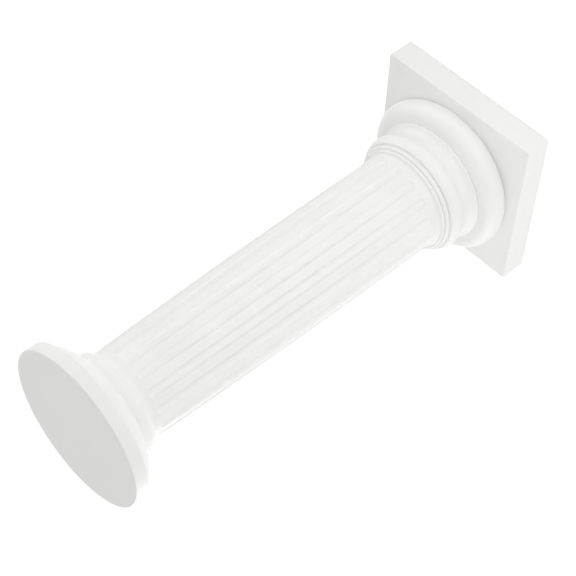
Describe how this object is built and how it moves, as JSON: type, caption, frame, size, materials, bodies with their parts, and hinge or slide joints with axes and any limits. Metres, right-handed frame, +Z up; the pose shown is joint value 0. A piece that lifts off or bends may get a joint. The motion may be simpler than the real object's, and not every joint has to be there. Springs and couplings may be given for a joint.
{
  "type": "column pedestal",
  "caption": "Free-standing white column pedestal with a square plinth, round moulded base, fluted shaft, capital and a flat round top that carries a plant or ornament.",
  "frame": {"origin": "on the floor, under the column's axis", "axes": "+Z up along the column's axis; +X and +Y square to the plinth's sides"},
  "size_m": [0.278, 0.278, 0.762],
  "materials": {
    "white_plastic": "satin white moulded plastic",
    "plug_plastic": "natural white nylon",
    "foot_rubber": "matt moulded rubber",
    "screw_steel": "bright zinc plate"
  },
  "bodies": {
    "root": {"plinth_tray": "white_plastic", "base_moulding": "white_plastic", "shaft": "white_plastic", "capital": "white_plastic", "top_disc": "white_plastic", "vent_plug": "plug_plastic", "foot_front_left": "foot_rubber", "foot_front_right": "foot_rubber", "foot_rear_left": "foot_rubber", "foot_rear_right": "foot_rubber", "foot_screws": "screw_steel", "base_screws": "screw_steel", "shaft_screws": "screw_steel", "disc_screws": "screw_steel"}
  },
  "joints": []
}
